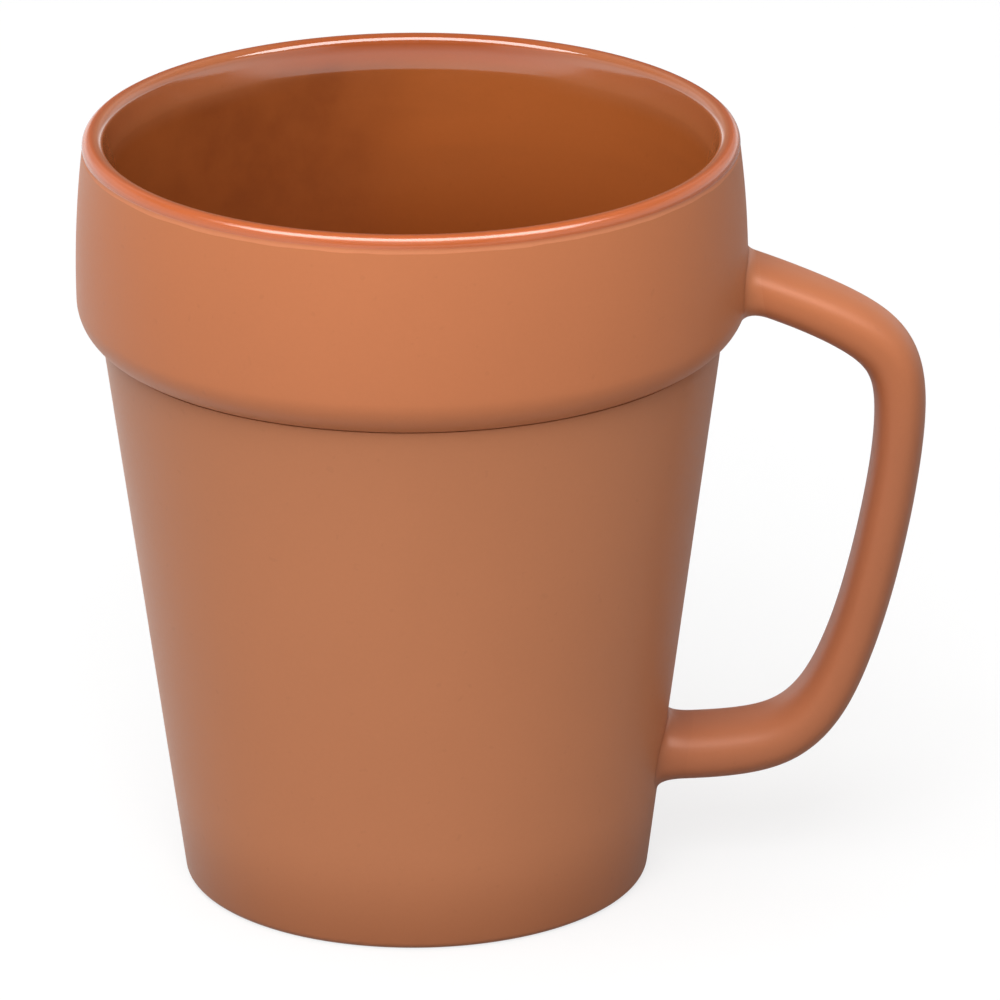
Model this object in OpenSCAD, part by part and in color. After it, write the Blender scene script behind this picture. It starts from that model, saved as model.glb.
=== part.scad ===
// A flower-pot mug of terracotta clay: a tapered pot, a thick collar lapped over its wall,
// an ear handle held with slip, and a glaze coat on the inside and the lip.
// The origin lies on the pot's axis, on the surface it stands on. +Z is up, and the handle
// points along +X. Lengths are in millimetres.

/* [Pot] */
// Height of the mug from the surface it stands on to the top of its lip
mug_h = 111.9; // [106:0.1:124]
// Diameter of the pot at its foot, before the edge is rounded
foot_d = 66.8; // [58:0.5:74]
// Diameter of the pot where the collar starts
neck_d = 88.8; // [80:0.2:98]
// Thickness of the pot's wall, measured level
wall_t = 4.2; // [3.2:0.1:5]
// Thickness of the floor above the hollow under it
floor_t = 4.5; // [3:0.5:7]
// Radius of the hollow corner between the floor and the wall
well_r = 6; // [3:0.5:10]
// Radius of the rounded edge round the foot
heel_r = 1.25; // [0.75:0.25:3]
// Width of the flat ring that the mug stands on
foot_ring_w = 4; // [3:0.5:8]
// Depth of the hollow inside that ring
foot_hollow = 1.5; // [0.5:0.25:2.5]

/* [Collar] */
// Height of the collar, from its lower edge to the top of the lip
collar_h = 29.3; // [24:0.1:36]
// How far the collar stands out from the pot's neck
collar_out = 3.5; // [2.6:0.1:5]
// Radius of the collar's rounded lower edge
collar_edge_r = 6; // [5:0.25:8]
// Radius of the bow of the collar's side, from that edge up to the lip
collar_side_r = 150; // [110:10:400]
// Thickness of the clay at the lip
lip_t = 2.35; // [1.9:0.05:4]
// Radius of the lip's outer edge
lip_outer_r = 1.4; // [1:0.1:2]
// Radius of the lip's inner edge
lip_inner_r = 1.2; // [0.6:0.1:1.6]
// Height of the flare inside the lip
flare_h = 4.6; // [3:0.2:7]
// How far that flare opens the mouth
flare_out = 0.1; // [0:0.05:0.4]
// How far the wall swells inwards under the flare
flare_swell = 0.25; // [0.1:0.05:0.4]
// Height over which the collar laps the wall
lap_h = 10; // [6:0.5:14]
// Thickness of the wall inside the lap
tongue_t = 1.9; // [1.4:0.1:2.4]

/* [Slip and glaze] */
// Radius of the slip smoothed into the corner under the collar
collar_slip_r = 0.5; // [0.3:0.05:1.5]
// Thickness of the slip between the handle's ends and the mug
slip_t = 0.3; // [0.2:0.05:0.6]
// Height of the slip smoothed round the handle's ends
root_slip_h = 2; // [1:0.1:2.5]
// Thickness of the glaze
glaze_t = 0.3; // [0.2:0.05:0.5]
// How far the glaze runs down the outside of the lip
glaze_drop = 2.3; // [1.6:0.1:3]

/* [Handle] */
// Height above the neck at which the middle of the handle meets the collar
handle_up = 6.9; // [6:0.1:12]
// Height at which the middle of the handle meets the pot
handle_low_z = 18; // [14:0.5:26]
// How far the middle of the grip stands out from the collar
handle_out = 21.6; // [18:0.2:28]
// Thickness of the grip, measured in the handle's plane
grip_t = 7.1; // [6:0.1:9]
// Width of the grip, measured across the handle's plane
grip_w = 12.6; // [10:0.2:16]
// Thickness of the handle at its upper bend
bend_t = 7.7; // [6.6:0.1:9.5]
// Thickness of the handle at the collar
top_root_t = 7.4; // [6.6:0.1:9]
// Width of the handle at the collar
top_root_w = 14; // [11:0.2:17]
// Thickness of the handle at the pot
low_root_t = 8.3; // [7:0.1:11]
// Width of the handle at the pot
low_root_w = 14.6; // [11:0.2:18]

/* [Hidden] */
$fn = 128;

pot_colour = [0.68, 0.42, 0.29];
collar_colour = [0.74, 0.46, 0.31];
slip_colour = [0.62, 0.37, 0.26];
handle_colour = [0.71, 0.43, 0.29];
glaze_colour = [0.49, 0.25, 0.11];

// Room between the facets of the slip and the glaze and the clay behind them
facet_clear = 0.05;

// Points, angles and rounded corners

function unit(v) = v / norm(v);
function on_circle(c, r, a) = c + r * [cos(a), sin(a)];
function reversed(v) = [for (i = [len(v) - 1 : -1 : 0]) v[i]];
function without_last(v) = [for (i = [0 : len(v) - 2]) v[i]];
// Half of the angle between the lines from corner p to a and to b
function half_angle(a, p, b) = acos(unit(a - p) * unit(b - p)) / 2;
// Where a round of radius r leaves the line from corner p to a
function leave(a, p, b, r) = p + unit(a - p) * r / tan(half_angle(a, p, b));
// Middle of that round
function round_c(a, p, b, r) = p + unit(unit(a - p) + unit(b - p)) * r / sin(half_angle(a, p, b));

// Points of a round about c from u to v, both seen from c
round_steps = 10;
function bow(c, u, v) = [for (i = [0 : round_steps])
  on_circle(c, norm(u), atan2(u.y, u.x) + atan2(cross(u, v), u * v) * i / round_steps)];
// Points of the round of corner p, on the way from a to b
function rounded(a, p, b, r) = let (c = round_c(a, p, b, r))
  bow(c, leave(a, p, b, r) - c, leave(b, p, a, r) - c);

// Outside of the pot: one straight cone, which runs on behind the collar

foot_r = foot_d / 2;
neck = [neck_d / 2, mug_h - collar_h];
taper = (neck.x - foot_r) / neck.y;
function pot_r(z) = foot_r + taper * z;

// Inside of the pot, which keeps the wall's thickness, less a coat of glaze

well_z = foot_hollow + floor_t;
function inner_r(z, coat) = pot_r(z) - wall_t - coat;
function well_mid(coat) = [0, well_z + coat];
function well_corner(coat) = [inner_r(well_z + coat, coat), well_z + coat];
function well_top(coat) = [inner_r(mug_h, coat), mug_h];
function well_line(coat) = concat(
  [well_mid(coat)],
  rounded(well_mid(coat), well_corner(coat), well_top(coat), well_r - coat));

// Outside of the collar: an arc from the neck, which runs on into the bowed side up to the lip

collar_r = neck.x + collar_out;
edge_c = [collar_r - collar_edge_r,
          neck.y + sqrt(pow(collar_edge_r, 2) - pow(collar_edge_r - collar_out, 2))];
// The clay of the lip stops below the glaze that covers it
lip_z = mug_h - glaze_t;
lip_r = inner_r(lip_z, 0) + flare_out + lip_t;
to_lip = [lip_r, lip_z] - edge_c;
side_past_edge_r = collar_side_r - collar_edge_r;
edge_high_a = atan2(to_lip.y, to_lip.x)
  - acos((pow(collar_side_r, 2) - pow(side_past_edge_r, 2) - to_lip * to_lip)
         / (2 * side_past_edge_r * norm(to_lip)));
edge_end = on_circle(edge_c, collar_edge_r, edge_high_a);
side_c = on_circle(edge_c, -side_past_edge_r, edge_high_a);
function side_r(z) = side_c.x + sqrt(pow(collar_side_r, 2) - pow(z - side_c.y, 2));
// Direction of the side where it reaches the lip, on the way down
side_down = unit([lip_z - side_c.y, side_c.x - lip_r]);
function edge_r(z) = edge_c.x + sqrt(max(pow(collar_edge_r, 2) - pow(z - edge_c.y, 2), 0));
// Radius of the mug's outside at any height
function outer_r(z) = z < neck.y ? pot_r(z) : z < edge_end.y ? edge_r(z) : side_r(z);

// Bead under the collar: a hollow round that runs out on the pot and on the collar's rounded edge

pot_out = unit([1, -taper]);
pot_up = unit([taper, 1]);
bead_foot = neck + pot_out * collar_slip_r - edge_c;
bead_half = bead_foot * pot_up;
bead_down = bead_half
  + sqrt(pow(bead_half, 2) - bead_foot * bead_foot + pow(collar_edge_r + collar_slip_r, 2));
bead_c = neck + pot_out * collar_slip_r - pot_up * bead_down;
// Where the bead runs out on the collar
bead_touch = edge_c + unit(bead_c - edge_c) * collar_edge_r;
under_bead = bow(edge_c, neck - edge_c, bead_touch - edge_c);
past_bead = bow(edge_c, bead_touch - edge_c, edge_end - edge_c);

// Lip, with its two rounded edges grown by a coat of glaze

lip_outer_share = 0.6;
lip_inner_share = 0.52;
function lip_out_r(coat) = min(lip_outer_r, lip_outer_share * lip_t) + coat;
function lip_in_r(coat) = min(lip_inner_r, lip_inner_share * lip_t) + coat;
function lip_out_top(coat) = [side_r(lip_z + coat) + coat, lip_z + coat];
function lip_out_low(coat) = lip_out_top(coat) + side_down * collar_h / 2;
function lip_in_top(coat) = [inner_r(lip_z + coat, coat) + flare_out, lip_z + coat];
function flare_low(coat) = [inner_r(lip_z - flare_h, coat) - flare_swell, lip_z - flare_h];
// Outer edge of the lip, on the way up
function lip_out_line(coat) =
  rounded(lip_out_low(coat), lip_out_top(coat), lip_in_top(coat), lip_out_r(coat));
// Inner edge of the lip and the flare under it, on the way in and down
function lip_in_line(coat) = concat(
  rounded(lip_out_top(coat), lip_in_top(coat), flare_low(coat), lip_in_r(coat)),
  [flare_low(coat)]);

// Lap: the wall's upper end is a thin tongue, and the collar sits over it on a shoulder

lap_z = neck.y + lap_h;
tongue_low = [inner_r(neck.y, 0) + tongue_t, neck.y];
tongue_high = [inner_r(lap_z, 0) + tongue_t, lap_z];
function tongue_in(coat) = [inner_r(lap_z, coat), lap_z];

// Tapered wall and floor, with a ring to stand on
module pot_body() {
  heel = [foot_r, 0];
  axis = [0, 0];
  ring_r = foot_r - heel_r - foot_ring_w;
  color(pot_colour)
    rotate_extrude()
      polygon(concat(
        [[0, foot_hollow], [ring_r - foot_hollow, foot_hollow], [ring_r, 0]],
        rounded(axis, heel, neck, heel_r),
        [neck, tongue_low, tongue_high, tongue_in(0)],
        reversed(well_line(0))
      ));
}

// Thick band round the top, which laps the wall and forms the lip
module rim_collar() {
  color(collar_colour)
    rotate_extrude()
      polygon(concat(
        [tongue_low],
        without_last(under_bead),
        without_last(past_bead),
        without_last(bow(side_c, edge_end - side_c, lip_out_line(0)[0] - side_c)),
        lip_out_line(0),
        lip_in_line(0),
        [tongue_in(0), tongue_high]
      ));
}

// Bead of slip in the corner under the collar
module collar_slip() {
  color(slip_colour)
    rotate_extrude()
      polygon(concat(
        bow(bead_c, pot_out * -collar_slip_r, bead_touch - bead_c),
        reversed(without_last(under_bead))
      ));
}

// Glaze coat on the floor, the wall and the lip, ending on the lip's outer edge
module inner_glaze() {
  end_z = mug_h - glaze_drop;
  function end_r(line) = lookup(end_z, [for (p = line) [p.y, p.x]]);
  function above(line) = concat([[end_r(line), end_z]], [for (p = line) if (p.y > end_z) p]);
  function outside(coat) = above(concat([lip_out_low(coat)], lip_out_line(coat)));
  function coat_line(coat) = concat(
    outside(coat), lip_in_line(coat), [tongue_in(coat)], reversed(well_line(coat)));
  color(glaze_colour)
    rotate_extrude()
      polygon(concat(coat_line(glaze_t), reversed(coat_line(facet_clear))));
}

// Path of the handle: a smooth curve drawn by the points of a loose frame around it. A point's first
// share is how far it stands out from the line between the two roots, and its second how far up it is

path_shares = [[-0.16, 1.015], [0.2, 0.98], [0.86, 0.905], [1.2, 0.795], [1.215, 0.44],
               [1.125, 0.19], [0.915, 0.025], [0.485, 0], [-0.12, 0]];
top_z = neck.y + handle_up;
low_root = [pot_r(handle_low_z), handle_low_z];
top_root = [outer_r(top_z), top_z];
frame = [for (s = path_shares) low_root + (top_root - low_root) * s.y + [handle_out * s.x, 0]];

degree = 3;
spans = len(frame) - degree;
function knot(i) = min(max(i - degree, 0), spans);
function ratio(a, b) = b == 0 ? 0 : a / b;
function basis(i, k, t) = k == 0
  ? (knot(i) <= t && t < knot(i + 1) ? 1 : 0)
  : ratio(t - knot(i), knot(i + k) - knot(i)) * basis(i, k - 1, t)
    + ratio(knot(i + k + 1) - t, knot(i + k + 1) - knot(i + 1)) * basis(i + 1, k - 1, t);
function path_at(t) = [for (i = [0 : len(frame) - 1]) basis(i, degree, t)] * frame;
function path_dir(t) = unit(
  [for (i = [1 : len(frame) - 1]) basis(i, degree - 1, t) / (knot(i + degree) - knot(i))]
  * [for (i = [1 : len(frame) - 1]) frame[i] - frame[i - 1]]);

// Section of the handle: a full oval, larger towards both roots

oval_power = 2.4;
top_flare_share = 0.3;
low_flare_share = 0.4;
bend_share = 0.25;
bend_reach_share = 0.18;
function ease(x) = pow(min(max(x, 0), 1), 2) * (3 - 2 * min(max(x, 0), 1));
function along(s, top, mid, low) = mid + (top - mid) * ease(1 - s / top_flare_share)
  + (low - mid) * ease(1 - (1 - s) / low_flare_share);
function swell(x) = sign(x) * pow(abs(x), 2 / oval_power);
function handle_pt(t, a) = let (
    p = path_at(t),
    d = path_dir(t),
    s = t / spans,
    bulge = (bend_t - grip_t) * ease(1 - abs(s - bend_share) / bend_reach_share),
    q = (along(s, top_root_t, grip_t, low_root_t) + bulge) / 2 * swell(sin(a))
  ) [p.x - d.y * q, along(s, top_root_w, grip_w, low_root_w) / 2 * swell(cos(a)), p.y + d.x * q];

// Ends of the handle: each line along it stops one slip thickness from the mug's outside

around = 40;
halvings = 16;
root_steps = 1;
angles = [for (i = [0 : around - 1]) 360 * i / around];
function on_mug(p, gap) = let (k = (outer_r(p.z) + gap) / norm([p.x, p.y])) [p.x * k, p.y * k, p.z];
function inside_mug(p) = norm([p.x, p.y]) < outer_r(p.z) + slip_t;
function stop_at(a, inner, outer, n) = let (t = (inner + outer) / 2)
  n == 0 ? t : inside_mug(handle_pt(t, a)) ? stop_at(a, t, outer, n - 1) : stop_at(a, inner, t, n - 1);
top_stop = [for (a = angles) stop_at(a, 0, root_steps, halvings)];
low_stop = [for (a = angles) stop_at(a, spans, spans - root_steps, halvings)];

// Rings along the handle, by their share of the way from the upper end to the lower one
long_steps = 44;
path_steps = 60;
function total(v, i = 0) = i < len(v) ? v[i] + total(v, i + 1) : 0;
path_length = total([for (i = [1 : path_steps - 1])
  norm(path_at(spans * i / path_steps) - path_at(spans * (i - 1) / path_steps))]);
slip_share = root_slip_h / path_length;
function handle_ring(s) = [for (i = [0 : around - 1])
  handle_pt(top_stop[i] + (low_stop[i] - top_stop[i]) * s, angles[i])];

// End faces of the handle, in rings from their middle out to their edge
face_rings = 6;
top_edge = handle_ring(0);
low_edge = handle_ring(1);
top_mid = on_mug([top_root.x, 0, top_root.y], slip_t);
low_mid = on_mug([low_root.x, 0, low_root.y], slip_t);
function face_ring(mid, edge, k, gap) = [for (p = edge) on_mug(mid + (p - mid) * k / face_rings, gap)];

// Solid with a skin of triangles over rings of points, closed by one point at each end
module ring_solid(first, rings, last) {
  n = len(rings[0]);
  m = len(rings);
  points = concat([first], [for (r = rings) for (p = r) p], [last]);
  polyhedron(points, concat(
    [for (i = [0 : n - 1]) [0, 1 + i, 1 + (i + 1) % n]],
    [for (j = [0 : m - 2]) for (i = [0 : n - 1])
      [1 + j * n + i, 1 + (j + 1) * n + i, 1 + (j + 1) * n + (i + 1) % n]],
    [for (j = [0 : m - 2]) for (i = [0 : n - 1])
      [1 + j * n + i, 1 + (j + 1) * n + (i + 1) % n, 1 + j * n + (i + 1) % n]],
    [for (i = [0 : n - 1]) [1 + (m - 1) * n + i, 1 + m * n, 1 + (m - 1) * n + (i + 1) % n]]
  ));
}

// Ear handle
module handle() {
  color(handle_colour)
    ring_solid(
      top_mid,
      concat(
        [for (k = [1 : face_rings - 1]) face_ring(top_mid, top_edge, k, slip_t)],
        [top_edge],
        [for (j = [0 : long_steps]) handle_ring(slip_share + (1 - 2 * slip_share) * j / long_steps)],
        [low_edge],
        [for (k = [face_rings - 1 : -1 : 1]) face_ring(low_mid, low_edge, k, slip_t)]
      ),
      low_mid
    );
}

// Slip between an end of the handle and the mug, drawn out round the end into a hollow fillet
fillet_steps = 5;
module root_slip(mid, edge, ring) {
  wall_mid = on_mug(mid, facet_clear);
  corner = [for (p = edge) on_mug(p, facet_clear)];
  skirt = [for (p = corner) on_mug(p + unit(p - wall_mid) * root_slip_h, facet_clear)];
  color(slip_colour)
    ring_solid(
      mid,
      concat(
        [for (k = [1 : face_rings - 1]) face_ring(mid, edge, k, slip_t)],
        [edge],
        [for (j = [0 : fillet_steps]) let (s = j / fillet_steps) [for (i = [0 : around - 1])
          ring[i] * pow(1 - s, 2) + corner[i] * 2 * s * (1 - s) + skirt[i] * pow(s, 2)]],
        [for (k = [face_rings - 1 : -1 : 1]) face_ring(wall_mid, skirt, k, facet_clear)]
      ),
      wall_mid
    );
}

module upper_handle_slip() {
  root_slip(top_mid, top_edge, handle_ring(slip_share));
}

module lower_handle_slip() {
  root_slip(low_mid, low_edge, handle_ring(1 - slip_share));
}

pot_body();
rim_collar();
collar_slip();
handle();
upper_handle_slip();
lower_handle_slip();
inner_glaze();
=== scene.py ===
import math

import bmesh
import bpy
import numpy as np
from mathutils import Matrix, Vector


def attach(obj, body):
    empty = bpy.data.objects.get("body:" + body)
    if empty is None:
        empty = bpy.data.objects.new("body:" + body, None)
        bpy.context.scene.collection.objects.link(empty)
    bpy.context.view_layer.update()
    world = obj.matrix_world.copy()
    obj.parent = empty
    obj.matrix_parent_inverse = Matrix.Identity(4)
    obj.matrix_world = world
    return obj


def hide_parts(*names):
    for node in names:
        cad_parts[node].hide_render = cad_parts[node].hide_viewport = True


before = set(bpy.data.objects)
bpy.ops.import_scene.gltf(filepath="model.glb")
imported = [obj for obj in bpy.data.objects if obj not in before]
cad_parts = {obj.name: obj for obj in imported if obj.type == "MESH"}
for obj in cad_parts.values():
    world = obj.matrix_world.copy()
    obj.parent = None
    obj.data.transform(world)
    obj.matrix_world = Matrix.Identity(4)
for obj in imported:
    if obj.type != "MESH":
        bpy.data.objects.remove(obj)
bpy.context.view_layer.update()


# Camera
# A long lens on a stand one and a half metres away looks down on the mug from the front, with
# the handle to its right. The roll is the slight lean that the picture has.

mm = 0.001
look_at = Vector((12.375, 0, 56.0)) * mm
look_down = math.radians(20.449)
roll = math.radians(-0.274)
distance = 1500 * mm
focal_length = 375.6
film_w = 36
near_clip, far_clip = 50 * mm, 50

scene = bpy.context.scene
scene.view_settings.view_transform = "Standard"
lens = bpy.data.cameras.new("long_lens")
lens.sensor_width = film_w
lens.lens = focal_length
lens.clip_start = near_clip
lens.clip_end = far_clip
camera = bpy.data.objects.new("camera", lens)
aim = Vector((0, math.cos(look_down), -math.sin(look_down)))
turn = Matrix.Rotation(math.pi / 2 - look_down, 4, "X") @ Matrix.Rotation(roll, 4, "Z")
camera.matrix_world = Matrix.Translation(look_at - aim * distance) @ turn
scene.collection.objects.link(camera)
scene.camera = camera


# Floor and light
# A sweep of white paper under the mug, in a white room. Seen in shiny surfaces, the paper has a
# painted glow at the left in place of a window's light, and a painted shadow at the right. A large
# soft box stands high in front, with weaker ones above and behind. Shiny surfaces mirror the paper,
# the room and a strip light overhead, but not the soft boxes.


def put(tree, kind, feeds=None, **settings):
    # Adds a node with its settings, and links or sets its inputs
    made = tree.nodes.new(kind)
    for name, value in settings.items():
        setattr(made, name, value)
    for socket, value in (feeds or {}).items():
        if isinstance(value, bpy.types.NodeSocket):
            tree.links.new(value, made.inputs[socket])
        else:
            made.inputs[socket].default_value = value
    return made


def calc(tree, operation, *values):
    return put(tree, "ShaderNodeMath", dict(enumerate(values)), operation=operation).outputs[0]


def blended(tree, share, a, b):
    return put(tree, "ShaderNodeMix", {0: share, 6: a, 7: b}, data_type="RGBA").outputs[2]


def ramp(tree, value, low, high, first=0.0, last=1.0):
    feeds = {0: value, 1: low, 2: high, 3: first, 4: last}
    return put(tree, "ShaderNodeMapRange", feeds, interpolation_type="SMOOTHSTEP").outputs[0]


def seen_directly(tree):
    path = put(tree, "ShaderNodeLightPath").outputs
    seen = calc(tree, "MAXIMUM", path["Is Camera Ray"], path["Is Glossy Ray"])
    return calc(tree, "MAXIMUM", seen, path["Is Transmission Ray"])


paper_seen = (0.95, 0.95, 0.95, 1)
paper_painted_shadow = (0.45, 0.45, 0.45, 1)
paper_bounce = (0.35, 0.35, 0.35, 1)
paper_rough = 0.9
paper_specular = 0.1
paper_glow = 0.75
painted_glow_share = 0.7
painted_glow_strength = 1.35
painted_glow_from, painted_glow_to = 80 * mm, -150 * mm
paper_half = 4.0
paper_gap = 0.05 * mm

paper = bpy.data.materials.new("white_paper")
paper.use_nodes = True
tree = paper.node_tree
matt = tree.nodes["Principled BSDF"]
matt.inputs["Roughness"].default_value = paper_rough
matt.inputs["Specular IOR Level"].default_value = paper_specular
rays = put(tree, "ShaderNodeLightPath").outputs
to_camera, to_gloss = rays["Is Camera Ray"], rays["Is Glossy Ray"]
place = put(tree, "ShaderNodeTexCoord").outputs["Object"]
across = put(tree, "ShaderNodeSeparateXYZ", {0: place}).outputs[0]
# Painted light: in shiny surfaces the paper glows at the left, in place of a window's light, and is darker
# at the right, a painted shadow
painted_glow_side = ramp(tree, across, painted_glow_from, painted_glow_to)
mirrored = blended(tree, painted_glow_side, paper_painted_shadow, paper_seen)
shown = blended(tree, to_camera, mirrored, paper_seen)
tree.links.new(blended(tree, seen_directly(tree), paper_bounce, shown), matt.inputs["Base Color"])
glow = put(tree, "ShaderNodeEmission", {"Strength": ramp(tree, to_gloss, 0.0, 1.0, 1.0, painted_glow_strength)})
in_gloss = calc(tree, "MULTIPLY", calc(tree, "MULTIPLY", to_gloss, painted_glow_side), painted_glow_share)
glow_share = calc(tree, "MULTIPLY_ADD", to_camera, paper_glow, in_gloss)
sheet = put(tree, "ShaderNodeMixShader", {0: glow_share, 1: matt.outputs[0], 2: glow.outputs[0]})
tree.links.new(sheet.outputs[0], tree.nodes["Material Output"].inputs["Surface"])

corners = [(x * paper_half, y * paper_half, -paper_gap)
           for x, y in ((-1, -1), (1, -1), (1, 1), (-1, 1))]
floor_mesh = bpy.data.meshes.new("floor")
floor_mesh.from_pydata(corners, [], [(0, 1, 2, 3)])
floor_mesh.materials.append(paper)
floor = bpy.data.objects.new("floor", floor_mesh)
scene.collection.objects.link(floor)

# Brightness of the room on matt surfaces, then in a mirror, low and high on its walls
wall_light, ceiling_light = 0.08, 0.7
low_wall, low_wall_behind = 1.5, 0.1
high_wall, high_wall_behind = 0.2, 0.5
# Where one brightness turns into the next, as parts of a direction of length 1
low_wall_ends = (0.06, 0.22)
behind_starts = (0.4, 0.85)
aside_starts = (0.1, 0.3)
side_starts, side_ends = (0.3, 0.6), (0.7, 0.4)

world = bpy.data.worlds.new("studio")
scene.world = world
world.use_nodes = True
tree = world.node_tree
walls = tree.nodes["Background"]
walls.inputs["Color"].default_value = (1, 1, 1, 1)
way = put(tree, "ShaderNodeTexCoord").outputs["Generated"]
x, back, up = put(tree, "ShaderNodeSeparateXYZ", {0: way}).outputs
off_middle = calc(tree, "ABSOLUTE", x)
behind = ramp(tree, back, *behind_starts)
aside = ramp(tree, off_middle, *aside_starts)
dark = calc(tree, "MULTIPLY", behind, calc(tree, "SUBTRACT", 1.0, aside))
low = ramp(tree, dark, 0.0, 1.0, low_wall, low_wall_behind)
high = ramp(tree, calc(tree, "MULTIPLY", behind, aside), 0.0, 1.0, high_wall, high_wall_behind)
side = calc(tree, "MULTIPLY", ramp(tree, off_middle, *side_starts), ramp(tree, up, *side_ends))
mirrored = calc(tree, "MAXIMUM", ramp(tree, up, *low_wall_ends, low, high), side)
room_light = ramp(tree, up, 0.0, 1.0, wall_light, ceiling_light)
light = put(tree, "ShaderNodeMix", {0: seen_directly(tree), 2: room_light, 3: mirrored}).outputs[0]
to_camera = put(tree, "ShaderNodeLightPath").outputs["Is Camera Ray"]
light = put(tree, "ShaderNodeMix", {0: to_camera, 2: light, 3: 1.0}).outputs[0]
tree.links.new(light, walls.inputs["Strength"])

lamp_distance = 1.8


def soft_box(name, azimuth, height, size, brightness, on_matt=True, on_gloss=True):
    # Azimuth runs from the front to the right, and a brightness of 1 is that of white paper
    box = bpy.data.lights.new(name, "AREA")
    box.shape = "RECTANGLE"
    box.size, box.size_y = size
    box.energy = brightness * size[0] * size[1] * math.pi
    lamp = bpy.data.objects.new(name, box)
    turn, lift = math.radians(azimuth), math.radians(height)
    out = Vector((math.sin(turn) * math.cos(lift), -math.cos(turn) * math.cos(lift), math.sin(lift)))
    facing = out.to_track_quat("Z", "Y").to_matrix().to_4x4()
    lamp.matrix_world = Matrix.Translation(look_at + out * lamp_distance) @ facing
    lamp.visible_diffuse = on_matt
    lamp.visible_glossy = on_gloss
    scene.collection.objects.link(lamp)


soft_box("front_soft_box", azimuth=-7, height=42, size=(1.05, 1.1), brightness=6.4, on_gloss=False)
soft_box("top_soft_box", azimuth=-50, height=70, size=(1.0, 1.0), brightness=3.0, on_gloss=False)
soft_box("back_fill", azimuth=180, height=22, size=(1.2, 0.9), brightness=1.2, on_gloss=False)
soft_box("overhead_strip", azimuth=0, height=75, size=(3.2, 1.0), brightness=8.5, on_matt=False)


# Pot body
# The tapered pot, cast from terracotta and sponged smooth: one cone from the foot to the collar, a
# floor with a ring to stand on, a thin tongue inside the collar and a fine step at the joint.

foot_r = 33.4 * mm
neck = (44.4 * mm, 82.6 * mm)
taper = (neck[0] - foot_r) / neck[1]
wall_t = 4.2 * mm
floor_t = 4.5 * mm
hollow = 1.5 * mm
heel_r = 1.25 * mm
ring_r = 28.15 * mm
ring_edge_r = 0.5 * mm
well_r = 6.0 * mm
lap_z = 92.6 * mm
tongue_t = 1.9 * mm
step_h = 0.12 * mm
step_t = 0.3 * mm
step_r = 0.08 * mm
turn_steps = 288
ripple_h = 0.08 * mm
ripple_size = 16 * mm
ripple_seed = 3.0
axis_fade = 10 * mm
weld = 0.001 * mm
crisp_angle = math.radians(40)


def pot_r(z):
    return foot_r + taper * z


def inner_r(z):
    return pot_r(z) - wall_t


def line(a, b, step=2.0 * mm):
    # Points from just after a to just before b
    n = max(1, math.ceil(math.dist(a, b) / step))
    return [(a[0] + (b[0] - a[0]) * i / n, a[1] + (b[1] - a[1]) * i / n) for i in range(1, n)]


def arc(centre, radius, start, end, steps=12):
    angles = [math.radians(start + (end - start) * i / steps) for i in range(steps + 1)]
    return [(centre[0] + radius * math.cos(a), centre[1] + radius * math.sin(a)) for a in angles]


def rounded(a, p, b, radius, steps=12):
    # The round of the corner p, on the way from a to b
    a, p, b = (np.array(v, float) for v in (a, p, b))
    to_a, to_b = (a - p) / np.linalg.norm(a - p), (b - p) / np.linalg.norm(b - p)
    half = math.acos(float(to_a @ to_b)) / 2
    middle = (to_a + to_b) / np.linalg.norm(to_a + to_b)
    centre = p + middle * radius / math.sin(half)
    first = p + to_a * radius / math.tan(half) - centre
    last = p + to_b * radius / math.tan(half) - centre
    start = math.degrees(math.atan2(first[1], first[0]))
    sweep = math.degrees(math.atan2(first[0] * last[1] - first[1] * last[0], float(first @ last)))
    return arc(centre, radius, start, start + sweep, steps)


def joined(*parts, step=2.0 * mm):
    # One line through parts of points, with straight stretches between them cut up evenly
    points = list(parts[0])
    for part in parts[1:]:
        points += line(points[-1], part[0], step) + list(part)
    return points


def new_group(name, kind, inputs, outputs):
    # An empty node group whose sockets are given as pairs of a name and a kind
    tree = bpy.data.node_groups.new(name, kind)
    for in_out, sockets in (("INPUT", inputs), ("OUTPUT", outputs)):
        for socket, of_kind in sockets:
            tree.interface.new_socket(socket, in_out=in_out, socket_type="NodeSocket" + of_kind)
    return tree, put(tree, "NodeGroupInput").outputs


def vector(tree, operation, a, b=None):
    feeds = {0: a}
    if b is not None:
        feeds["Scale" if operation == "SCALE" else 1] = b
    return put(tree, "ShaderNodeVectorMath", feeds, operation=operation).outputs[0]


def named(tree, name):
    found = put(tree, "GeometryNodeInputNamedAttribute", {"Name": name}, data_type="FLOAT_VECTOR")
    return found.outputs[0]


def rolled_grid(tree, source, steps):
    # A grid with one row for each point of a source, the angle that its columns stand for, and a
    # way to read the source's values row by row
    points = put(tree, "GeometryNodeAttributeDomainSize", {0: source}).outputs["Point Count"]
    columns = calc(tree, "ADD", steps, 1.0)
    sizes = {"Vertices X": points, "Vertices Y": columns}
    grid = put(tree, "GeometryNodeMeshGrid", sizes).outputs["Mesh"]
    index = put(tree, "GeometryNodeInputIndex").outputs[0]
    row = calc(tree, "FLOOR", calc(tree, "DIVIDE", calc(tree, "ADD", index, 0.5), columns))
    column = calc(tree, "SUBTRACT", index, calc(tree, "MULTIPLY", row, columns))
    angle = calc(tree, "MULTIPLY", calc(tree, "DIVIDE", column, steps), math.tau)

    def of_source(value):
        feeds = {0: source, 1: value, "Index": row}
        return put(tree, "GeometryNodeSampleIndex", feeds, data_type="FLOAT_VECTOR").outputs[0]

    return grid, angle, of_source


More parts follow.
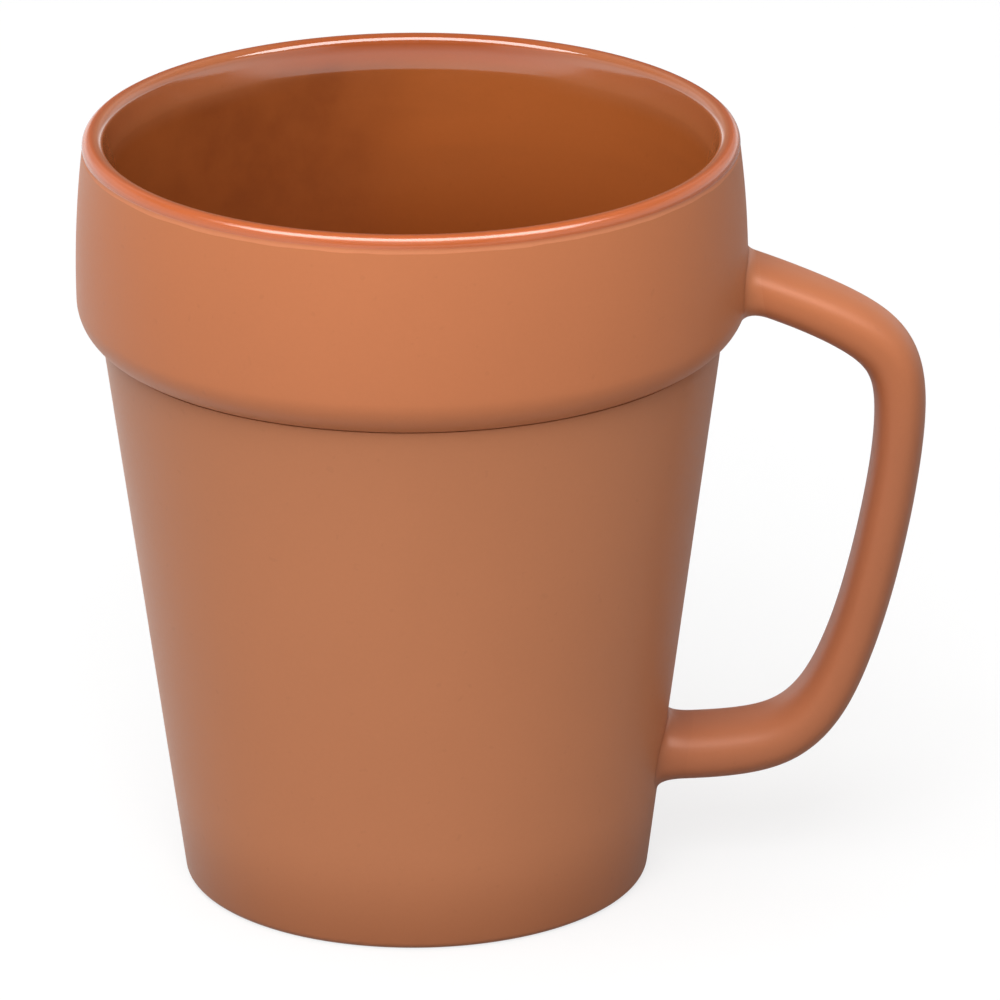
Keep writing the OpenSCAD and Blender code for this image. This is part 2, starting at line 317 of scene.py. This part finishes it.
def turned_tree():
    # Turns a section of points, x out from the axis and z up, once round the axis
    tree, given = new_group("turned_round", "GeometryNodeTree",
                            (("Section", "Geometry"), ("Steps", "Int"), ("Ripple", "Float"),
                             ("Ripple Size", "Float"), ("Wander", "Float"), ("Seed", "Float"),
                             ("Clay", "Material")),
                            (("Piece", "Geometry"),))
    grid, angle, of_section = rolled_grid(tree, given["Section"], given["Steps"])

    def noise(place, scale, detail):
        feeds = {"Vector": place, "W": given["Seed"], "Scale": scale, "Detail": detail}
        found = put(tree, "ShaderNodeTexNoise", feeds, noise_dimensions="4D").outputs[0]
        return calc(tree, "SUBTRACT", found, 0.5)

    sweep = {0: calc(tree, "COSINE", angle), 1: calc(tree, "SINE", angle)}
    out = put(tree, "ShaderNodeCombineXYZ", sweep).outputs[0]
    place = of_section(put(tree, "GeometryNodeInputPosition").outputs[0])
    slide = of_section(named(tree, "slide"))
    wander = calc(tree, "MULTIPLY", noise(out, scale=9.0, detail=3.0), given["Wander"])
    place = vector(tree, "ADD", place, vector(tree, "SCALE", slide, wander))
    flat = put(tree, "ShaderNodeSeparateXYZ", {0: place}).outputs
    up = put(tree, "ShaderNodeCombineXYZ", {2: flat[2]}).outputs[0]
    spot = vector(tree, "ADD", vector(tree, "SCALE", out, flat[0]), up)
    ripple = noise(spot, scale=calc(tree, "DIVIDE", 1.0, given["Ripple Size"]), detail=1.0)
    # The ripple dies out towards the axis, where the floor's middle has to stay closed
    ripple = calc(tree, "MULTIPLY", ripple, ramp(tree, flat[0], 0.0, axis_fade))
    swell = vector(tree, "SCALE", out, calc(tree, "MULTIPLY", ripple, given["Ripple"]))
    moves = {"Geometry": grid, "Position": vector(tree, "ADD", spot, swell)}
    shape = put(tree, "GeometryNodeSetPosition", moves).outputs[0]
    put(tree, "NodeGroupOutput", {0: finished(tree, shape, given["Clay"])})
    return tree


def finished(tree, shape, clay):
    # Welds a shape, smooths its faces but not its crisp edges, and gives it its clay
    shape = put(tree, "GeometryNodeMergeByDistance", {"Geometry": shape, "Distance": weld}).outputs[0]
    shape = put(tree, "GeometryNodeSetShadeSmooth", {"Geometry": shape}, domain="FACE").outputs[0]
    bend = put(tree, "GeometryNodeInputMeshEdgeAngle").outputs[0]
    crisp = {"Geometry": shape, "Selection": calc(tree, "GREATER_THAN", bend, crisp_angle),
             "Shade Smooth": False}
    shape = put(tree, "GeometryNodeSetShadeSmooth", crisp, domain="EDGE").outputs[0]
    shape = put(tree, "GeometryNodeRealizeInstances", {0: shape}).outputs[0]
    return put(tree, "GeometryNodeSetMaterial", {"Geometry": shape, "Material": clay}).outputs[0]


def closed(mesh):
    # Turns every face of a closed mesh outwards
    shell = bmesh.new()
    shell.from_mesh(mesh)
    bmesh.ops.recalc_face_normals(shell, faces=shell.faces)
    shell.to_mesh(mesh)
    shell.free()


def grown(name, source, tree, values):
    # Runs a node tree on a source mesh and keeps the result as a plain mesh
    draft = bpy.data.objects.new(name + "_draft", source)
    scene.collection.objects.link(draft)
    run = draft.modifiers.new("grow", "NODES")
    run.node_group = tree
    for item in tree.interface.items_tree:
        if item.in_out == "INPUT" and item.name in values:
            run[item.identifier] = values[item.name]
    bpy.context.view_layer.update()
    mesh = bpy.data.meshes.new_from_object(draft.evaluated_get(bpy.context.evaluated_depsgraph_get()))
    draft.modifiers.remove(run)
    bpy.data.objects.remove(draft)
    closed(mesh)
    mesh.name = name
    piece = bpy.data.objects.new(name, mesh)
    scene.collection.objects.link(piece)
    return piece


def turned(name, points, clay, slides=None, wander=0.0):
    section = bpy.data.meshes.new(name + "_section")
    links = [(i, i + 1) for i in range(len(points) - 1)]
    section.from_pydata([(r, 0, z) for r, z in points], links, [])
    slide = section.attributes.new("slide", "FLOAT_VECTOR", "POINT")
    for i, (r, z) in enumerate(slides or []):
        slide.data[i].vector = (r, 0, z)
    values = {"Steps": turn_steps, "Ripple": ripple_h, "Ripple Size": ripple_size, "Wander": wander,
              "Seed": ripple_seed, "Clay": clay}
    return grown(name, section, turned_round, values)


def clay_group():
    # Fired clay: cloudy tone, fine grain, and a few dark specks and pores
    tree, given = new_group("fired_clay", "ShaderNodeTree",
                            (("Tone", "Color"), ("Cloud", "Float"), ("Speck", "Float"), ("Gloss", "Float")),
                            (("Color", "Color"), ("Roughness", "Float"), ("Height", "Float")))
    spot = put(tree, "ShaderNodeTexCoord").outputs["Object"]

    def noise(scale, detail):
        feeds = {"Vector": spot, "Scale": scale, "Detail": detail}
        return calc(tree, "SUBTRACT", put(tree, "ShaderNodeTexNoise", feeds).outputs[0], 0.5)

    grain_share, rough_spread = 0.5, 0.12
    pore_starts = (0.2, 0.3)
    cloud = noise(scale=34.0, detail=4.0)
    grain = noise(scale=1500.0, detail=3.0)
    pores = ramp(tree, noise(scale=700.0, detail=1.0), *pore_starts)
    patches = calc(tree, "MULTIPLY_ADD", grain, grain_share, cloud)
    level = calc(tree, "MULTIPLY_ADD", patches, given["Cloud"], 1.0)
    level = calc(tree, "SUBTRACT", level, calc(tree, "MULTIPLY", pores, given["Speck"]))
    tone = vector(tree, "SCALE", given["Tone"], level)
    rough = calc(tree, "MULTIPLY_ADD", calc(tree, "ADD", grain, cloud), rough_spread, given["Gloss"])
    height = calc(tree, "SUBTRACT", grain, pores)
    put(tree, "NodeGroupOutput", {"Color": tone, "Roughness": rough, "Height": height})
    return tree


clay_cloud = 0.08
clay_speck = 0.04
clay_gloss = 0.42
clay_bump = 0.005 * mm
clay_specular = 0.2


def clay_material(name, tone, top_tone=None, turn_z=None):
    # Where a top tone is given, the tone turns into it between the two heights of turn_z
    made = bpy.data.materials.new(name)
    made.use_nodes = True
    tree = made.node_tree
    skin = tree.nodes["Principled BSDF"]
    feeds = {"Tone": tone, "Cloud": clay_cloud, "Speck": clay_speck, "Gloss": clay_gloss}
    if top_tone:
        spot = put(tree, "ShaderNodeTexCoord").outputs["Object"]
        up = put(tree, "ShaderNodeSeparateXYZ", {0: spot}).outputs[2]
        feeds["Tone"] = blended(tree, ramp(tree, up, *turn_z), tone, top_tone)
    clay = put(tree, "ShaderNodeGroup", feeds, node_tree=fired_clay)
    relief = put(tree, "ShaderNodeBump", {"Height": clay.outputs["Height"], "Distance": clay_bump})
    tree.links.new(clay.outputs["Color"], skin.inputs["Base Color"])
    tree.links.new(clay.outputs["Roughness"], skin.inputs["Roughness"])
    tree.links.new(relief.outputs[0], skin.inputs["Normal"])
    skin.inputs["Specular IOR Level"].default_value = clay_specular
    return made


turned_round = turned_tree()
fired_clay = clay_group()
pot_tone = (0.545, 0.206, 0.095, 1)
# Painted shade: the pot's clay turns darker over its lowest 16 mm, near the floor
foot_shade_tone = (0.41, 0.144, 0.062, 1)
foot_shade_h = 16 * mm
pot_clay = clay_material("pot_terracotta", foot_shade_tone, pot_tone, (0.0, foot_shade_h))

well_z = hollow + floor_t
inner_top = (inner_r(lap_z), lap_z)
tongue_low = (inner_r(neck[1]) + tongue_t, neck[1])
tongue_high = (inner_r(lap_z) + tongue_t, lap_z)
step_low = (pot_r(neck[1] - step_h), neck[1] - step_h)
step_in = (step_low[0] - step_t, step_low[1])
step_top = (neck[0] - step_t, neck[1])
hollow_end = (ring_r - hollow, hollow)
ring_in = (ring_r, 0)
heel = (foot_r, 0)
well = rounded((0, well_z), (inner_r(well_z), well_z), inner_top, well_r)
pot_section = joined([(0, hollow)],
                     rounded((0, hollow), hollow_end, ring_in, ring_edge_r, steps=4),
                     rounded(hollow_end, ring_in, heel, ring_edge_r, steps=4),
                     rounded(ring_in, heel, step_low, heel_r),
                     rounded(heel, step_low, step_in, step_r, steps=5),
                     [step_in, step_top, tongue_low, tongue_high, inner_top],
                     well[::-1], [(0, well_z)])
pot_body = turned("terracotta_pot", pot_section, pot_clay)
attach(pot_body, "root")
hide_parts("pot_body")


# Rim collar
# The thick band round the top, of the same clay: lapped over the wall's tongue, rounded off below
# and worked up into the lip, which flares a little inside.

collar_r = 47.9 * mm
edge_r = 6.0 * mm
side_bow_r = 150 * mm
lip_z = 111.6 * mm
lip_t = 2.35 * mm
lip_outer_r = 1.4 * mm
lip_inner_r = 1.2 * mm
flare_h = 4.6 * mm
flare_out = 0.1 * mm
flare_swell = 0.25 * mm
flare_r = 8.0 * mm

edge_c = (collar_r - edge_r, neck[1] + math.sqrt(edge_r ** 2 - (edge_r - collar_r + neck[0]) ** 2))
lip_in = (inner_r(lip_z) + flare_out, lip_z)
lip_out = (lip_in[0] + lip_t, lip_z)
to_lip = (lip_out[0] - edge_c[0], lip_z - edge_c[1])
edge_low = math.degrees(math.atan2(neck[1] - edge_c[1], neck[0] - edge_c[0]))
past_edge = side_bow_r - edge_r
rise = math.hypot(*to_lip)
edge_turn = math.acos((side_bow_r ** 2 - past_edge ** 2 - rise ** 2) / (2 * past_edge * rise))
edge_high = math.degrees(math.atan2(to_lip[1], to_lip[0]) - edge_turn)
collar_edge = arc(edge_c, edge_r, edge_low, edge_high, steps=24)
side_c = arc(edge_c, -past_edge, edge_high, edge_high, steps=1)[0]
lip_lean = math.asin((lip_z - side_c[1]) / side_bow_r)
collar_side = arc(side_c, side_bow_r, edge_high, math.degrees(lip_lean), steps=16)
side_low = (lip_out[0] + math.sin(lip_lean) * edge_r, lip_z - math.cos(lip_lean) * edge_r)


def outer_r(z):
    # Radius of the mug's outside at any height
    if z < neck[1]:
        return pot_r(z)
    if z < collar_edge[-1][1]:
        return edge_c[0] + math.sqrt(max(edge_r ** 2 - (z - edge_c[1]) ** 2, 0.0))
    return side_c[0] + math.sqrt(side_bow_r ** 2 - (z - side_c[1]) ** 2)


flare_low = (inner_r(lip_z - flare_h) - flare_swell, lip_z - flare_h)
outer_lip = rounded(side_low, lip_out, lip_in, lip_outer_r, steps=16)
inner_lip = rounded(lip_out, lip_in, flare_low, lip_inner_r, steps=8)
flare = rounded(lip_in, flare_low, inner_top, flare_r, steps=4)
collar_section = joined(collar_edge, collar_side[1:-2], outer_lip, inner_lip, flare,
                        [inner_top, tongue_high, tongue_low, neck])
collar_tone = (0.575, 0.194, 0.081, 1)
collar_clay = clay_material("collar_terracotta", collar_tone)
rim_collar = turned("collar_band", collar_section, collar_clay)
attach(rim_collar, "root")
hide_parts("rim_collar")


# Slip under the collar
# A thin bead of liquid clay, drawn along the corner under the collar with a finger, which hides
# the joint above the pot's fine step.

bead_turn = 3.0
bead_steps = 10
slip_tone = (0.55, 0.19, 0.082, 1)
# Painted shade: lower down, as on the handle's lower arm, the slip is darker
low_slip_shade_tone = (0.435, 0.151, 0.07, 1)
slip_turn_z = (30 * mm, 75 * mm)


def hung(a, corner, b, s):
    # A point of the curve from a to b that leans into a corner
    return a * (1 - s) ** 2 + corner * 2 * s * (1 - s) + b * s ** 2


bead_touch = arc(edge_c, edge_r, edge_low, edge_low + bead_turn, steps=4)
bead_ends = [np.array(p) for p in (step_in, step_top, bead_touch[-1])]
bead = [tuple(hung(*bead_ends, i / bead_steps)) for i in range(bead_steps + 1)]
bead_section = bead + bead_touch[-2::-1] + [step_top, step_in]
slip_clay = clay_material("slip_terracotta", low_slip_shade_tone, slip_tone, slip_turn_z)
collar_slip = turned("collar_slip_bead", bead_section, slip_clay)
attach(collar_slip, "root")
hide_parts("collar_slip")


# Glaze
# A glossy brown coat, poured inside and wiped over the lip. It is thin and orange over the lip and
# thins out to nothing on the lip's outer edge, along a line that wanders a little.

glaze_t = 0.3 * mm
glaze_end_z = 109.6 * mm
glaze_feather = 2.4 * mm
glaze_wander = 0.5 * mm
wander_reach = 1.2 * mm
coat_step = 1.5 * mm
end_step = 0.12 * mm
deep_tone = (0.205, 0.042, 0.007, 1)
upper_tone = (0.43, 0.115, 0.027, 1)
streak_tone = (0.34, 0.09, 0.022, 1)
# A painted shade for the mottled patch on the inside wall at the left
shaded_patch_tone = (0.21, 0.048, 0.012, 1)
lip_tone = (0.54, 0.115, 0.024, 1)
# Darker glaze with painted shade along the crest's inner edge, then a painted reflection at both sides
# inside the lip
crest_glaze_and_shade_tone = (0.41, 0.085, 0.016, 1)
painted_sheen_tone = (0.48, 0.165, 0.068, 1)
end_tone = (0.7, 0.23, 0.09, 1)
# Heights, radii and widths between which one tone fades into another
deep_up = (72 * mm, 106 * mm)
patch_left, patch_right = (-46 * mm, -28 * mm), (4 * mm, -14 * mm)
lip_up = (107 * mm, 111 * mm)
crest_up, crest_out = (107.5 * mm, 110.5 * mm), (45.9 * mm, 45.0 * mm)
painted_sheen_up, painted_sheen_out = (104.5 * mm, 108.5 * mm), (45.4 * mm, 44.6 * mm)
painted_sheen_aside = (12 * mm, 30 * mm)
end_up, end_out = (110.6 * mm, 109.9 * mm), (46.0 * mm, 46.4 * mm)
wiped_out = (45.6 * mm, 46.3 * mm)
# Strengths of the tones and the shine, and the noise levels that they lie between
streak_squeeze = (1.0, 1.0, 5.0)
streak_levels = (0.4, 0.7)
mottle_levels = (0.3, 0.7)
streak_share = 0.35
painted_sheen_share = 0.65
shaded_patch_shares = (0.45, 0.7)
glaze_gloss = (0.06, 0.1)
wiped_gloss = 0.23
end_gloss = 0.7
glaze_cloud = 0.12
glaze_speck = 0.05
glaze_bump = 0.001 * mm
glaze_ior = 1.7


def glaze_material():
    made = bpy.data.materials.new("brown_glaze")
    made.use_nodes = True
    tree = made.node_tree
    skin = tree.nodes["Principled BSDF"]
    spot = put(tree, "ShaderNodeTexCoord").outputs["Object"]
    x, y, up = put(tree, "ShaderNodeSeparateXYZ", {0: spot}).outputs
    out = calc(tree, "SQRT", calc(tree, "MULTIPLY_ADD", x, x, calc(tree, "MULTIPLY", y, y)))

    def noise(place, scale, detail):
        feeds = {"Vector": place, "Scale": scale, "Detail": detail}
        return put(tree, "ShaderNodeTexNoise", feeds).outputs[0]

    def both(a, b):
        return calc(tree, "MULTIPLY", a, b)

    # The inside wall darkens downwards, with streaks, and a mottled patch at the left is darker, a painted
    # shade cast by the mug's left wall
    wiped = put(tree, "ShaderNodeMapping", {"Vector": spot, "Scale": streak_squeeze}).outputs[0]
    streaks = noise(wiped, scale=40.0, detail=4.0)
    mottle = noise(spot, scale=160.0, detail=5.0)
    tone = blended(tree, ramp(tree, up, *deep_up), deep_tone, upper_tone)
    tone = blended(tree, ramp(tree, streaks, *streak_levels, 0.0, streak_share), tone, streak_tone)
    patch = both(ramp(tree, x, *patch_left), ramp(tree, x, *patch_right))
    shaded_patch = both(patch, ramp(tree, mottle, *mottle_levels, *shaded_patch_shares))
    tone = blended(tree, shaded_patch, tone, shaded_patch_tone)

    # The lip is orange. Along the crest's inner edge it is darker glaze with painted shade, and below the
    # crest at both sides a lighter tone is a painted reflection
    tone = blended(tree, ramp(tree, up, *lip_up), tone, lip_tone)
    crest = both(ramp(tree, out, *crest_out), ramp(tree, up, *crest_up))
    tone = blended(tree, crest, tone, crest_glaze_and_shade_tone)
    aside = ramp(tree, calc(tree, "ABSOLUTE", x), *painted_sheen_aside)
    painted_sheen = both(aside, ramp(tree, up, *painted_sheen_up, 0.0, painted_sheen_share))
    painted_sheen = both(painted_sheen, ramp(tree, out, *painted_sheen_out))
    tone = blended(tree, painted_sheen, tone, painted_sheen_tone)

    # The thinned end shows the clay and is almost matt, and the wiped edge above it shines less
    end = both(ramp(tree, up, *end_up), ramp(tree, out, *end_out))
    tone = blended(tree, end, tone, end_tone)
    rough = ramp(tree, streaks, *mottle_levels, *glaze_gloss)
    rough = ramp(tree, ramp(tree, out, *wiped_out), 0.0, 1.0, rough, wiped_gloss)
    rough = ramp(tree, end, 0.0, 1.0, rough, end_gloss)

    feeds = {"Tone": tone, "Cloud": glaze_cloud, "Speck": glaze_speck}
    clay = put(tree, "ShaderNodeGroup", feeds, node_tree=fired_clay)
    relief = put(tree, "ShaderNodeBump", {"Height": clay.outputs["Height"], "Distance": glaze_bump})
    tree.links.new(clay.outputs["Color"], skin.inputs["Base Color"])
    tree.links.new(rough, skin.inputs["Roughness"])
    tree.links.new(relief.outputs[0], skin.inputs["Normal"])
    skin.inputs["IOR"].default_value = glaze_ior
    return made


def heading(points, i):
    a, b = points[max(i - 1, 0)], points[min(i + 1, len(points) - 1)]
    return (b[0] - a[0]) / math.dist(a, b), (b[1] - a[1]) / math.dist(a, b)


def ease(x):
    x = min(max(x, 0.0), 1.0)
    return x * x * (3 - 2 * x)


glaze_end = (outer_r(glaze_end_z), glaze_end_z)
clay_line = joined([(0, well_z)], well, [inner_top], flare[::-1], inner_lip[::-1], outer_lip[::-1],
                   step=coat_step)
clay_line += line(outer_lip[0], glaze_end, end_step) + [glaze_end]
to_end = [0.0]
for a, b in zip(clay_line[::-1], clay_line[-2::-1]):
    to_end.insert(0, to_end[0] + math.dist(a, b))
coat, slides = [], []
for i, (r, z) in enumerate(clay_line):
    along = heading(clay_line, i)
    thick = glaze_t * ease(to_end[i] / glaze_feather)
    coat.append((max(r - along[1] * thick, 0.0), z + along[0] * thick))
    hold = max(1 - to_end[i] / wander_reach, 0.0)
    slides.append((along[0] * hold, along[1] * hold))
coat[0] = (0.0, well_z + glaze_t)
coat += clay_line[-2::-1]
slides += slides[-2::-1]
brown_glaze = glaze_material()
inner_glaze = turned("glaze_coat", coat, brown_glaze, slides, glaze_wander)
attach(inner_glaze, "root")
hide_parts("inner_glaze")


# Handle
# A pulled ear of the same clay with a full oval section, bent over while soft and stuck on at the
# collar and low on the pot.

handle_top_z = 89.5 * mm
handle_low_z = 18.0 * mm
handle_out = 21.6 * mm
grip_t, grip_w = 7.1 * mm, 12.6 * mm
bend_t = 7.7 * mm
top_root_t, top_root_w = 7.4 * mm, 14.0 * mm
low_root_t, low_root_w = 8.3 * mm, 14.6 * mm
oval_power = 2.4
path_shares = [(-0.16, 1.015), (0.2, 0.98), (0.86, 0.905), (1.2, 0.795), (1.215, 0.44), (1.125, 0.19),
               (0.915, 0.025), (0.485, 0.0), (-0.12, 0.0)]
top_flare_share, low_flare_share = 0.3, 0.4
bend_share, bend_reach_share = 0.25, 0.18
degree = 3
end_gap = 1e-6
handle_steps = 200
handle_around = 72
end_shares = (0.0, 0.35, 0.7)
# Painted shade: the handle's clay is darker down its lower arm, where the mug and the upper arm keep light
# off it
low_arm_shade_tone = (0.45, 0.156, 0.072, 1)
top_arm_tone = (0.53, 0.174, 0.072, 1)
arm_turn_z = (62 * mm, 88 * mm)

low_root = np.array((pot_r(handle_low_z), handle_low_z))
top_root = np.array((outer_r(handle_top_z), handle_top_z))
path_frame = [low_root + (top_root - low_root) * up + np.array((handle_out * out, 0))
              for out, up in path_shares]
spans = len(path_frame) - degree
knots = [0] * degree + list(range(spans + 1)) + [spans] * degree


def path_at(t):
    # Place and direction of the handle's middle line, a smooth curve that its frame of points draws
    t = min(max(t, end_gap), spans - end_gap)
    k = int(t) + degree
    d = path_frame[k - degree:k + 1]
    for level in range(1, degree + 1):
        if level == degree:
            ahead = d[degree] - d[degree - 1]
        for j in range(degree, level - 1, -1):
            low = knots[k - degree + j]
            share = (t - low) / (knots[k + 1 + j - level] - low)
            d[j] = d[j - 1] * (1 - share) + d[j] * share
    return d[degree], ahead / np.linalg.norm(ahead)


def along_handle(s, top, middle, low):
    near_top, near_low = ease(1 - s / top_flare_share), ease(1 - (1 - s) / low_flare_share)
    return middle + (top - middle) * near_top + (low - middle) * near_low


def handle_size(t):
    s = t / spans
    bulge = (bend_t - grip_t) * ease(1 - abs(s - bend_share) / bend_reach_share)
    thickness = along_handle(s, top_root_t, grip_t, low_root_t) + bulge
    return thickness, along_handle(s, top_root_w, grip_w, low_root_w)


def pulled_tree():
    # Sweeps an oval along a path of points and presses its ends against the pot and the collar
    tree, given = new_group("pulled_handle", "GeometryNodeTree",
                            (("Path", "Geometry"), ("Around", "Int"), ("Oval", "Float"), ("Pot", "Object"),
                             ("Collar", "Object"), ("Reach", "Float"), ("Clay", "Material")),
                            (("Piece", "Geometry"),))
    grid, angle, of_path = rolled_grid(tree, given["Path"], given["Around"])

    def swell(wave):
        power = calc(tree, "DIVIDE", 2.0, given["Oval"])
        size = calc(tree, "POWER", calc(tree, "ABSOLUTE", wave), power)
        return calc(tree, "MULTIPLY", calc(tree, "SIGN", wave), size)

    place = of_path(put(tree, "GeometryNodeInputPosition").outputs[0])
    for name, wave in (("thick", "SINE"), ("wide", "COSINE")):
        side = vector(tree, "SCALE", of_path(named(tree, name)), swell(calc(tree, wave, angle)))
        place = vector(tree, "ADD", place, side)
    shape = put(tree, "GeometryNodeSetPosition", {"Geometry": grid, "Position": place}).outputs[0]
    mug = put(tree, "GeometryNodeJoinGeometry")
    for name in ("Pot", "Collar"):
        wall = put(tree, "GeometryNodeObjectInfo", {"Object": given[name]})
        tree.links.new(wall.outputs["Geometry"], mug.inputs[0])
    here = put(tree, "GeometryNodeInputPosition").outputs[0]
    spot = put(tree, "ShaderNodeSeparateXYZ", {0: here}).outputs
    level = put(tree, "ShaderNodeCombineXYZ", {0: spot[0], 1: spot[1]}).outputs[0]
    up = put(tree, "ShaderNodeCombineXYZ", {2: spot[2]}).outputs[0]
    out = vector(tree, "NORMALIZE", level)
    far = vector(tree, "ADD", vector(tree, "SCALE", out, given["Reach"]), up)
    ray = {"Target Geometry": mug.outputs[0], "Source Position": far,
           "Ray Direction": vector(tree, "SCALE", out, -1.0), "Ray Length": given["Reach"]}
    hit = put(tree, "GeometryNodeRaycast", ray).outputs
    away = put(tree, "ShaderNodeVectorMath", {0: level}, operation="LENGTH").outputs["Value"]
    sunk = calc(tree, "LESS_THAN", away, calc(tree, "SUBTRACT", given["Reach"], hit["Hit Distance"]))
    moves = {"Geometry": shape, "Selection": sunk, "Position": hit["Hit Position"]}
    shape = put(tree, "GeometryNodeSetPosition", moves).outputs[0]
    put(tree, "NodeGroupOutput", {0: finished(tree, shape, given["Clay"])})
    return tree


# Both ends shrink to a point inside the mug, where they are closed
stations = [(0.0, k) for k in end_shares]
stations += [(spans * i / handle_steps, 1.0) for i in range(handle_steps + 1)]
stations += [(float(spans), k) for k in end_shares[::-1]]
places = [path_at(t) for t, k in stations]
handle_path = bpy.data.meshes.new("handle_path")
path_links = [(i, i + 1) for i in range(len(places) - 1)]
handle_path.from_pydata([(p[0], 0, p[1]) for p, d in places], path_links, [])
thick = handle_path.attributes.new("thick", "FLOAT_VECTOR", "POINT")
wide = handle_path.attributes.new("wide", "FLOAT_VECTOR", "POINT")
for i, ((t, k), (p, d)) in enumerate(zip(stations, places)):
    t_size, w_size = handle_size(t)
    thick.data[i].vector = (-d[1] * t_size / 2 * k, 0, d[0] * t_size / 2 * k)
    wide.data[i].vector = (0, w_size / 2 * k, 0)
handle_clay = clay_material("handle_terracotta", low_arm_shade_tone, top_arm_tone, arm_turn_z)
handle = grown("ear_handle", handle_path, pulled_tree(),
               {"Around": handle_around, "Oval": oval_power, "Pot": pot_body, "Collar": rim_collar,
                "Reach": 2 * collar_r, "Clay": handle_clay})
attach(handle, "root")
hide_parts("handle")


# Slip at the handle's ends
# Liquid clay pressed out when each end was stuck on, and smoothed round it with a wet finger into
# a hollow fillet, wider below the upper end than above it.

fillet_around = 120
fillet_steps = 10
slip_t = 0.3 * mm
feather = 0.01 * mm
upper_reach, upper_lean = 1.9 * mm, -0.8 * mm
lower_reach, lower_lean = 1.7 * mm, 0.0
disc_shares = (0.4, 0.8)
halvings = 24


def handle_point(t, a):
    p, d = path_at(t)
    t_size, w_size = handle_size(t)
    s, c = math.sin(a), math.cos(a)
    q = t_size / 2 * math.copysign(abs(s) ** (2 / oval_power), s)
    y = w_size / 2 * math.copysign(abs(c) ** (2 / oval_power), c)
    return np.array((p[0] - d[1] * q, y, p[1] + d[0] * q))


def on_mug(p, gap):
    k = (outer_r(p[2]) + gap) / math.hypot(p[0], p[1])
    return np.array((p[0] * k, p[1] * k, p[2]))


def stop_at(a, inside, outside):
    # Where a line along the handle comes out of the layer of slip
    for _ in range(halvings):
        t = (inside + outside) / 2
        p = handle_point(t, a)
        if math.hypot(p[0], p[1]) < outer_r(p[2]) + slip_t:
            inside = t
        else:
            outside = t
    return outside


def fillet(name, root, inside, outside, reach, lean):
    # Reach is the fillet's width on the mug and on the handle, and lean adds to it on one side
    turns = [math.tau * i / fillet_around for i in range(fillet_around)]
    wide = [reach + lean * math.sin(a) for a in turns]
    stops = [stop_at(a, inside, outside) for a in turns]
    middle = (inside + outside) / 2
    step = (outside - inside) / 2
    pace = step / np.linalg.norm(path_at(outside)[0] - path_at(middle)[0])
    edge = [handle_point(t, a) for t, a in zip(stops, turns)]
    ring = [handle_point(t + pace * w, a) for t, a, w in zip(stops, turns, wide)]
    mid = on_mug(np.array((root[0], 0, root[1])), slip_t)
    wall_mid = on_mug(mid, feather)
    corner = [on_mug(p, feather) for p in edge]
    outwards = [(p - wall_mid) / np.linalg.norm(p - wall_mid) for p in corner]
    skirt = [on_mug(p + way * w, feather) for p, way, w in zip(corner, outwards, wide)]
    rings = [[mid + (p - mid) * k for p in edge] for k in disc_shares] + [edge]
    for j in range(fillet_steps + 1):
        rings.append([hung(r, c, w, j / fillet_steps) for r, c, w in zip(ring, corner, skirt)])
    rings += [[on_mug(wall_mid + (p - wall_mid) * k, feather) for p in skirt] for k in disc_shares[::-1]]
    n = fillet_around
    points = [mid] + [p for r in rings for p in r] + [wall_mid]
    last = 1 + (len(rings) - 1) * n
    faces = [(0, 1 + i, 1 + (i + 1) % n) for i in range(n)]
    for low in range(1, last, n):
        faces += [(low + i, low + n + i, low + n + (i + 1) % n, low + (i + 1) % n) for i in range(n)]
    faces += [(last + i, len(points) - 1, last + (i + 1) % n) for i in range(n)]
    mesh = bpy.data.meshes.new(name)
    mesh.from_pydata([tuple(p) for p in points], [], faces)
    closed(mesh)
    mesh.shade_smooth()
    mesh.set_sharp_from_angle(angle=crisp_angle)
    mesh.materials.append(slip_clay)
    piece = bpy.data.objects.new(name, mesh)
    scene.collection.objects.link(piece)
    return piece


upper_slip = fillet("upper_slip_fillet", top_root, 0.0, 1.0, upper_reach, upper_lean)
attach(upper_slip, "root")
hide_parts("upper_handle_slip")
lower_slip = fillet("lower_slip_fillet", low_root, float(spans), spans - 1.0, lower_reach, lower_lean)
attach(lower_slip, "root")
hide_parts("lower_handle_slip")
